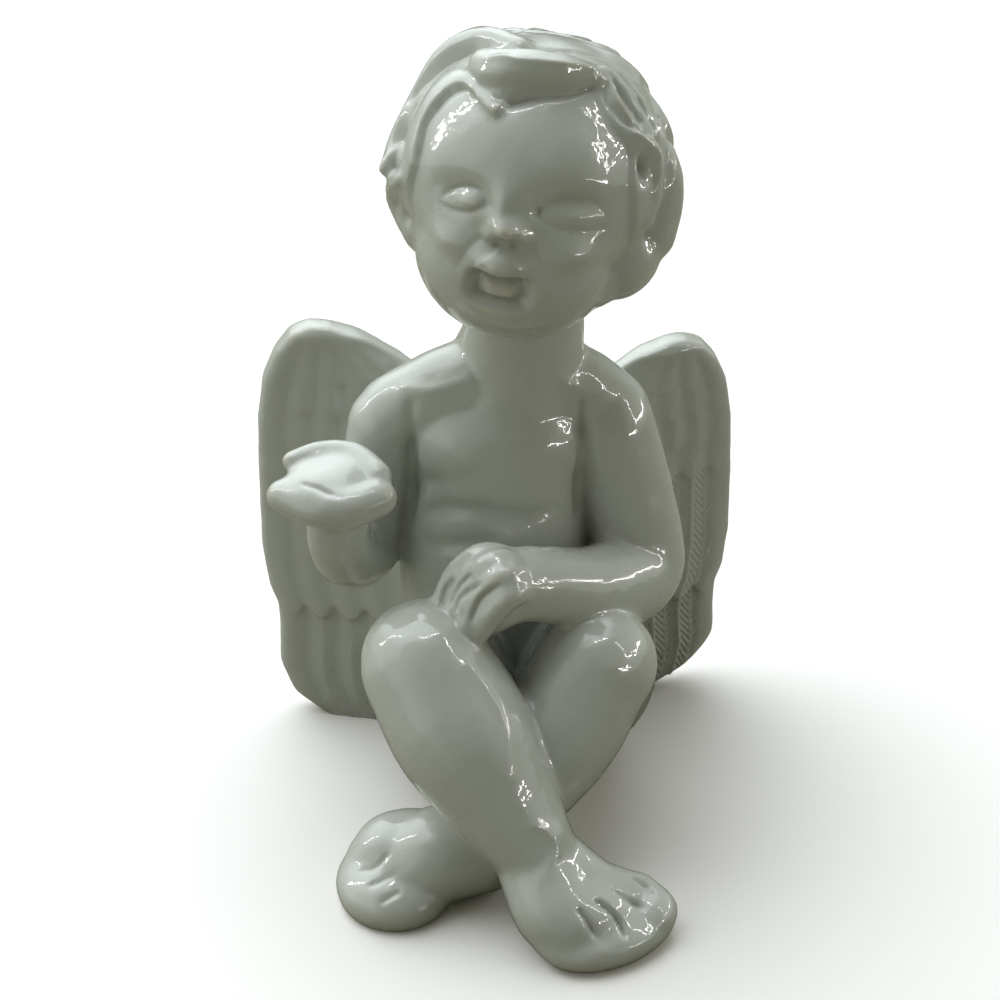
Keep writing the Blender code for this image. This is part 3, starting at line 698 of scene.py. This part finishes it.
def hairLine(unit):
    # steps back from the hair line, measured outwards from the middle of the face
    out = direction(0, 5)
    north = direction(0, 95)
    east = np.cross(north, out)
    line = np.array([direction(*place) for place in hair["line"]])
    turns = np.arctan2(line @ east, line @ north)
    order = np.argsort(turns)
    turn = np.arctan2(unit @ east, unit @ north)
    edge = np.interp(turn, turns[order], np.arccos(line @ out)[order])
    return (np.arccos(np.clip(unit @ out, -1, 1)) - edge) * head["skull"], turn


def modelFace(places):
    unit, onIt = headDirections(places)
    unit = unit[onIt]
    behind, turn = hairLine(unit)
    push = hair["lineHeight"] * ramp(behind, *hair["lineStep"]) * (1 - ramp(behind, *hair["lineFade"]))
    push *= 1 - ramp(np.abs(turn), *[math.radians(end) for end in hair["lineEnds"]])
    pushes = face["pushes"] + face["hollows"] + hair["hollows"]
    for longitude, latitude, reachAcross, reachUp, amount in pushes:
        east, north, facing = awayOnHead(unit, longitude, latitude)
        push += facing * amount * np.exp(-(east / reachAcross)**2 - (north / reachUp)**2)
    for part in (face["mouth"], face["tongue"]):
        east, north, facing = awayOnHead(unit, *part["place"])
        away = (east / part["across"])**4 + (north / part["up"])**4
        push -= facing * part["depth"] * np.exp(-away**part["sharpness"])
    for halfWidth, amount, path in face["strokes"] + hair["strokes"]:
        line = [point / np.linalg.norm(point) for point in curveOf([direction(*place) for place in path])]
        away, share01, _ = lineDistance(unit, line)
        push += amount * np.exp(-(away * head["skull"] / halfWidth)**2) * endTaper(share01)
    places[onIt] += unit @ headTurn.T * push[:, None]


def combHair(places):
    # strands that run along each lock, cut between its sides
    unit, onIt = headDirections(places)
    unit = unit[onIt]
    push = np.zeros(len(onIt))
    runs = [(lock, 1.0) for lock in hair["locks"].values()]
    runs += [(lock, hair["napeStrands"]) for lock in napeLocks()]
    for lock, strength in runs:
        middle = curveOf([direction(*place[:2]) for place in lock])
        line = [point / np.linalg.norm(point) for point in middle]
        radius = float(np.mean([place[3] for place in lock]))
        away, share01, heading = lineDistance(unit, line)
        away = away * hair["strandReach"]
        nearest = np.zeros_like(unit)
        best = np.full(len(unit), 9.0)
        for point in line:
            gap = np.linalg.norm(unit - point, axis=1)
            closer = gap < best
            best[closer] = gap[closer]
            nearest[closer] = point
        sideways = np.einsum("ij,ij->i", unit - nearest,
                             np.cross(nearest, heading)) * hair["strandReach"]
        wave = 0.5 - 0.5 * np.cos(2 * np.pi * (sideways / (radius * hair["strandGap"]) + 0.5))
        inside = np.exp(-(away / (radius * hair["strandEdge"]))**4) * endTaper(share01)
        push -= hair["strandDepth"] * strength * wave * inside
    places[onIt] += unit @ headTurn.T * push[:, None]


def cutFeathers(places, normals):
    fadeIn, full, fadeOut, gone = wings["barbsAcross"]
    lastFull, highest = wings["barbsUp"]
    for side in (-1, 1):
        height = places[:, 2] / wings["scales"][side]
        outwards = places[:, 0] * side
        inner, outer = outlineAt(height)
        across = (outwards - inner) / (outer - inner)
        off = places[:, 1] - middleAt(height, outwards)
        near = (np.abs(off) < wings["barbsDeep"]) & (across > fadeIn) & (across < gone)
        near = near & (height < highest) & (height > 0.0) & (outwards > wings["barbsOutwards"][0])
        facing = np.abs(normals[:, 1]) > wings["barbsFacing"]
        chosen = np.nonzero(near & facing)[0]
        relief = featherRelief(across[chosen], height[chosen], True)
        shown = ramp(across[chosen], fadeIn, full) * (1 - ramp(across[chosen], fadeOut, gone))
        shown = shown * (1 - ramp(height[chosen], lastFull, highest))
        shown = shown * ramp(outwards[chosen], *wings["barbsOutwards"])
        places[chosen] += normals[chosen] * (relief * shown * wings["barbShare"][side])[:, None]


def rippleGlaze(places, normals):
    waves = np.zeros(len(places))
    for k, wave in enumerate(figure["waves"]):
        waves += np.sin(places @ np.array(wave) + figure["waveShift"] * k) / len(figure["waves"])
    places += normals * (figure["waviness"] * waves)[:, None]


def buildClay():
    skin = bmesh.new()
    addBody(skin)
    addToes(skin)
    addHands(skin)
    addHead(skin)
    addHair(skin)
    addWing(skin, -1)
    addWing(skin, 1)
    bmesh.ops.recalc_face_normals(skin, faces=skin.faces)
    masses = bpy.data.meshes.new("masses")
    skin.to_mesh(masses)
    skin.free()
    cherub = bpy.data.objects.new("porcelainCherub", masses)
    bpy.context.scene.collection.objects.link(cherub)
    fuse = cherub.modifiers.new("fuse", "REMESH")
    fuse.mode = "VOXEL"
    fuse.voxel_size = figure["cell"] * figure["height"]
    graph = bpy.context.evaluated_depsgraph_get()
    clay = bpy.data.meshes.new_from_object(cherub.evaluated_get(graph))
    cherub.modifiers.clear()
    keepOuterSkin(clay)
    print("clay:", len(clay.vertices), "vertices")
    return cherub, clay


def modelClay(clay):
    places = readPlaces(clay)
    edges = joinEdges(clay)
    relax(places, edges, np.full(len(places), figure["softening"]), figure["softAll"])
    relax(places, edges, figure["softening"] * (1 - fineZones(places)), figure["softBody"])
    writePlaces(clay, places)
    normals = readNormals(clay)
    for centre, reach, push in dents:
        pressDent(places, normals, centre, reach, push)
    for halfWidth, push, path in marks:
        pressMark(places, normals, halfWidth, push, path)
    modelFace(places)
    combHair(places)
    cutFeathers(places, normals)
    rippleGlaze(places, normals)
    writePlaces(clay, places)


def thinOut(cherub, clay):
    cherub.data = clay
    thin = cherub.modifiers.new("thin out", "DECIMATE")
    thin.ratio = figure["faces"] / (2 * len(clay.polygons))
    thin.use_collapse_triangulate = True
    graph = bpy.context.evaluated_depsgraph_get()
    mesh = bpy.data.meshes.new_from_object(cherub.evaluated_get(graph))
    cherub.modifiers.clear()
    return mesh


def cutFlat(mesh):
    # takes off what passes through the ground and closes the underside
    skin = bmesh.new()
    skin.from_mesh(mesh)
    geometry = skin.verts[:] + skin.edges[:] + skin.faces[:]
    cut = bmesh.ops.bisect_plane(skin, geom=geometry, plane_co=(0, 0, 0), plane_no=(0, 0, 1),
                                 clear_inner=True)
    rim = [e for e in cut["geom_cut"] if isinstance(e, bmesh.types.BMEdge) and e.is_boundary]
    bmesh.ops.holes_fill(skin, edges=rim, sides=0)
    bmesh.ops.triangulate(skin, faces=[f for f in skin.faces if len(f.verts) > 3])
    bmesh.ops.recalc_face_normals(skin, faces=skin.faces)
    skin.to_mesh(mesh)
    skin.free()


# The hollow measure marks pooled glaze and also darkens hollows as painted shade.
poolingAndShade = {
    "reach": 6,             # rounds of smoothing that a hollow is measured against
    "strength": 0.6,
    "depth": 0.0034,
    "evening": 3,
    "bareTo": 0.0035,
    "bareFade": 0.0020,
}


def markGlaze(mesh):
    # glaze pools in hollows, which are also darkened there as painted shade, and thins on edges; the
    # underside is bare
    places = readPlaces(mesh)
    edges = joinEdges(mesh)
    normals = readNormals(mesh)
    count = np.maximum(np.bincount(edges.ravel(), minlength=len(places)), 1)
    smooth = places.copy()
    relax(smooth, edges, np.full(len(places), poolingAndShade["strength"]), poolingAndShade["reach"])
    hollow = np.einsum("ij,ij->i", smooth - places, normals)[:, None] / poolingAndShade["depth"]
    for _ in range(poolingAndShade["evening"]):
        hollow = 0.5 * hollow + 0.5 * aroundMean(hollow, edges, count)
    bare = np.clip((poolingAndShade["bareTo"] - places[:, 2]) / poolingAndShade["bareFade"], 0, 1)
    for name, values in (("glazePoolAndShade", np.clip(0.5 + hollow[:, 0], 0, 1)), ("bareClay", bare)):
        layer = mesh.attributes.new(name, "FLOAT", "POINT")
        layer.data.foreach_set("value", values.astype(np.float32))


cherub, clay = buildClay()
modelClay(clay)
finished = thinOut(cherub, clay)
cutFlat(finished)
markGlaze(finished)
cherub.data = finished
finished.shade_smooth()
print("skin:", len(finished.polygons), "triangles")

print("stage: glaze")
glaze = {
    "body": (0.56, 0.575, 0.535, 1.0),
    "cool": (0.575, 0.592, 0.562, 1.0),
    # glaze pooling and painted shade: a darker colour in hollows
    "pooledAndShaded": (0.43, 0.445, 0.405, 1.0),
    "thin": (0.62, 0.595, 0.525, 1.0),
    # painted shade: a darker, warmer colour where the surface turns down
    "under": (0.50, 0.50, 0.435, 1.0),
    "bare": (0.72, 0.70, 0.65, 1.0),
    "speck": (0.16, 0.13, 0.10, 1.0),
    "underFrom": (0.15, -0.85),         # how far a surface turns down
    "pooledAndShadedFrom": (0.58, 0.95),
    "thinFrom": (0.25, 0.02),
    "clouds": (60.0, 0.35, 0.65),       # scale of the noise, and its range
    "wear": (220.0, 0.3, 0.7),
    "grain": (700.0, 2.0),
    "speckCells": 260.0,
    "speckEdge": (0.075, 0.045),
    "speckShare": (0.975, 0.980),
    "roughness": (0.20, 0.30),
    "underGloss": 0.15,
    "coatRoughness": 0.04,
    "bumpDistance": 0.00005,
}


def mixColours(tree, factor, first, second):
    node = tree.nodes.new("ShaderNodeMix")
    node.data_type = "RGBA"
    for socket, value in ((node.inputs[0], factor), (node.inputs[6], first), (node.inputs[7], second)):
        if isinstance(value, bpy.types.NodeSocket):
            tree.links.new(value, socket)
        else:
            socket.default_value = value
    return node.outputs[2]


def mapRange(tree, value, fromLow, fromHigh, toLow=0.0, toHigh=1.0):
    node = tree.nodes.new("ShaderNodeMapRange")
    node.interpolation_type = "SMOOTHSTEP"
    tree.links.new(value, node.inputs["Value"])
    for name, amount in (("From Min", fromLow), ("From Max", fromHigh), ("To Min", toLow),
                         ("To Max", toHigh)):
        node.inputs[name].default_value = amount
    return node.outputs["Result"]


def noiseAt(tree, coordinates, scale, detail=3.0):
    node = tree.nodes.new("ShaderNodeTexNoise")
    node.inputs["Scale"].default_value = scale
    node.inputs["Detail"].default_value = detail
    tree.links.new(coordinates, node.inputs["Vector"])
    return node.outputs["Fac"]


def makeGlaze():
    material = bpy.data.materials.new("whiteGlaze")
    material.use_nodes = True
    tree = material.node_tree
    shader = tree.nodes["Principled BSDF"]
    coordinates = tree.nodes.new("ShaderNodeTexCoord").outputs["Object"]
    poolAndShade = tree.nodes.new("ShaderNodeAttribute")
    poolAndShade.attribute_name = "glazePoolAndShade"
    bare = tree.nodes.new("ShaderNodeAttribute")
    bare.attribute_name = "bareClay"
    # the surface's own normal, which drives the painted shade on surfaces that turn down
    normalForShade = tree.nodes.new("ShaderNodeSeparateXYZ")
    tree.links.new(tree.nodes.new("ShaderNodeNewGeometry").outputs["Normal"], normalForShade.inputs[0])
    scale, low, high = glaze["clouds"]
    cloudy = mapRange(tree, noiseAt(tree, coordinates, scale), low, high)
    colour = mixColours(tree, cloudy, glaze["body"], glaze["cool"])
    # painted shade: darker where the surface turns down
    colour = mixColours(tree, mapRange(tree, normalForShade.outputs["Z"], *glaze["underFrom"]), colour,
                        glaze["under"])
    # glaze pooling and painted shade: darker in hollows
    colour = mixColours(tree, mapRange(tree, poolAndShade.outputs["Fac"], *glaze["pooledAndShadedFrom"]), colour,
                        glaze["pooledAndShaded"])
    colour = mixColours(tree, mapRange(tree, poolAndShade.outputs["Fac"], *glaze["thinFrom"]), colour,
                        glaze["thin"])
    cells = tree.nodes.new("ShaderNodeTexVoronoi")
    cells.inputs["Scale"].default_value = glaze["speckCells"]
    tree.links.new(coordinates, cells.inputs["Vector"])
    dot = mapRange(tree, cells.outputs["Distance"], *glaze["speckEdge"])
    rare = tree.nodes.new("ShaderNodeSeparateColor")
    tree.links.new(cells.outputs["Color"], rare.inputs[0])
    picked = mapRange(tree, rare.outputs[0], *glaze["speckShare"])
    speck = tree.nodes.new("ShaderNodeMath")
    speck.operation = "MULTIPLY"
    tree.links.new(dot, speck.inputs[0])
    tree.links.new(picked, speck.inputs[1])
    colour = mixColours(tree, speck.outputs[0], colour, glaze["speck"])
    colour = mixColours(tree, bare.outputs["Fac"], colour, glaze["bare"])
    tree.links.new(colour, shader.inputs["Base Color"])
    scale, low, high = glaze["wear"]
    rough = mapRange(tree, noiseAt(tree, coordinates, scale), low, high, *glaze["roughness"])
    tree.links.new(rough, shader.inputs["Roughness"])
    tree.links.new(mapRange(tree, bare.outputs["Fac"], 0.0, 1.0, 1.0, 0.0),
                   shader.inputs["Coat Weight"])
    shader.inputs["Coat Roughness"].default_value = glaze["coatRoughness"]
    shader.inputs["IOR"].default_value = 1.5
    shader.inputs["Specular IOR Level"].default_value = glaze["underGloss"]
    bump = tree.nodes.new("ShaderNodeBump")
    bump.inputs["Strength"].default_value = 1.0
    bump.inputs["Distance"].default_value = glaze["bumpDistance"]
    tree.links.new(noiseAt(tree, coordinates, *glaze["grain"]), bump.inputs["Height"])
    tree.links.new(bump.outputs["Normal"], shader.inputs["Normal"])
    tree.links.new(bump.outputs["Normal"], shader.inputs["Coat Normal"])
    return material


finished.materials.clear()
finished.materials.append(makeGlaze())
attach(cherub, "root")
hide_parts("cherub_figurine")

print("stage: studio")
studio = {
    "floorColour": (0.99, 0.96, 0.95, 1.0),
    "floorSize": 6.0,
    "backdrop": (0.97, 0.97, 0.97, 1.0),
    "floorBounce": (0.245, 0.242, 0.186, 1.0),   # the floor as the figure sees it
    "room": (0.055, 0.054, 0.036, 1.0),
    "ceiling": (3.05, 3.25, 3.30, 1.0),          # soft light from above and a little behind
    "ceilingTowards": (-0.24, 0.52, 0.820),
    "ceilingFrom": (0.60, 0.99),
    "walls": (0.92, 0.94, 0.84, 1.0),            # pale panels at both sides
    "wallsFrom": (0.40, 0.95),
    # Rows of small lamps: (name, one end and the other as azimuth and elevation).
    "rows": [("rightRow", (72, 60), (62, 14)), ("rightLowRow", (64, 16), (110, 10)),
             ("leftRow", (-107, 50), (-112, 12)),
             ("rightFaceRow", (36, 4), (60, 4)),
             ("topRow", (-80, 74), (80, 74)), ("rightSpot", (17, 62), (18.6, 62))],
    "rowDistance": 0.80,
    "rowWidth": 0.011,
    "rowBrightness": 42.0,
    "target": (-0.0023, 0.0, 0.04508),
    "azimuth": -8.0,
    "elevation": 30.0,
    "distance": 0.28187,
    "lens": 70.2,
    "sensor": 36.0,
}


def seenOnly(tree, seen, unseen):
    # one colour for the camera and another for the light that reaches the figure
    path = tree.nodes.new("ShaderNodeLightPath")
    return mixColours(tree, path.outputs["Is Camera Ray"], unseen, seen)


def makeFloor():
    half = studio["floorSize"] / 2
    mesh = bpy.data.meshes.new("floor")
    mesh.from_pydata([(-half, -half, 0), (half, -half, 0), (half, half, 0), (-half, half, 0)], [],
                     [(0, 1, 2, 3)])
    floor = bpy.data.objects.new("floor", mesh)
    bpy.context.scene.collection.objects.link(floor)
    paper = bpy.data.materials.new("palePaper")
    paper.use_nodes = True
    shader = paper.node_tree.nodes["Principled BSDF"]
    paper.node_tree.links.new(seenOnly(paper.node_tree, studio["floorColour"], studio["floorBounce"]),
                              shader.inputs["Base Color"])
    shader.inputs["Roughness"].default_value = 0.9
    shader.inputs["Specular IOR Level"].default_value = 0.0
    mesh.materials.append(paper)


def aimAt(thing, place, target):
    thing.location = place
    thing.rotation_mode = "QUATERNION"
    thing.rotation_quaternion = (Vector(place) - Vector(target)).to_track_quat("Z", "Y")


def towards(azimuth, elevation, distance):
    turn = math.radians(azimuth)
    rise = math.radians(elevation)
    away = Vector((math.sin(turn) * math.cos(rise), -math.cos(turn) * math.cos(rise), math.sin(rise)))
    return Vector(studio["target"]) + away * distance


def makeRows():
    # they show as bright lines in the glaze, and the even light comes from the room
    for name, oneEnd, otherEnd in studio["rows"]:
        start = towards(*oneEnd, studio["rowDistance"])
        end = towards(*otherEnd, studio["rowDistance"])
        lamp = bpy.data.lights.new(name, "AREA")
        lamp.shape = "RECTANGLE"
        lamp.size = (end - start).length
        lamp.size_y = studio["rowWidth"]
        lamp.energy = studio["rowBrightness"] * math.pi * lamp.size * lamp.size_y
        row = bpy.data.objects.new(name, lamp)
        bpy.context.scene.collection.objects.link(row)
        middle = (start + end) / 2
        facing = (middle - Vector(studio["target"])).normalized()
        along = (end - start).normalized()
        across = facing.cross(along).normalized()
        along = across.cross(facing)
        turn = Matrix((along, across, facing)).transposed().to_4x4()
        row.matrix_world = Matrix.Translation(middle) @ turn
        row.visible_diffuse = False


def makeSky():
    world = bpy.data.worlds.new("studioRoom")
    bpy.context.scene.world = world
    world.use_nodes = True
    tree = world.node_tree
    facing = tree.nodes.new("ShaderNodeTexCoord").outputs["Generated"]
    overhead = tree.nodes.new("ShaderNodeVectorMath")
    overhead.operation = "DOT_PRODUCT"
    overhead.inputs[1].default_value = studio["ceilingTowards"]
    tree.links.new(facing, overhead.inputs[0])
    parts = tree.nodes.new("ShaderNodeSeparateXYZ")
    tree.links.new(facing, parts.inputs[0])
    aside = tree.nodes.new("ShaderNodeMath")
    aside.operation = "ABSOLUTE"
    tree.links.new(parts.outputs["X"], aside.inputs[0])
    colour = mixColours(tree, mapRange(tree, aside.outputs[0], *studio["wallsFrom"]), studio["room"],
                        studio["walls"])
    colour = mixColours(tree, mapRange(tree, overhead.outputs["Value"], *studio["ceilingFrom"]), colour,
                        studio["ceiling"])
    tree.links.new(seenOnly(tree, studio["backdrop"], colour), tree.nodes["Background"].inputs["Color"])
    tree.nodes["Background"].inputs["Strength"].default_value = 1.0


def makeCamera():
    data = bpy.data.cameras.new("camera")
    data.lens = studio["lens"]
    data.sensor_width = studio["sensor"]
    data.clip_start = 0.01
    camera = bpy.data.objects.new("camera", data)
    bpy.context.scene.collection.objects.link(camera)
    aimAt(camera, towards(studio["azimuth"], studio["elevation"], studio["distance"]), studio["target"])
    bpy.context.scene.camera = camera


makeFloor()
makeRows()
makeSky()
makeCamera()
bpy.context.scene.view_settings.view_transform = "Standard"

bpy.context.view_layer.update()
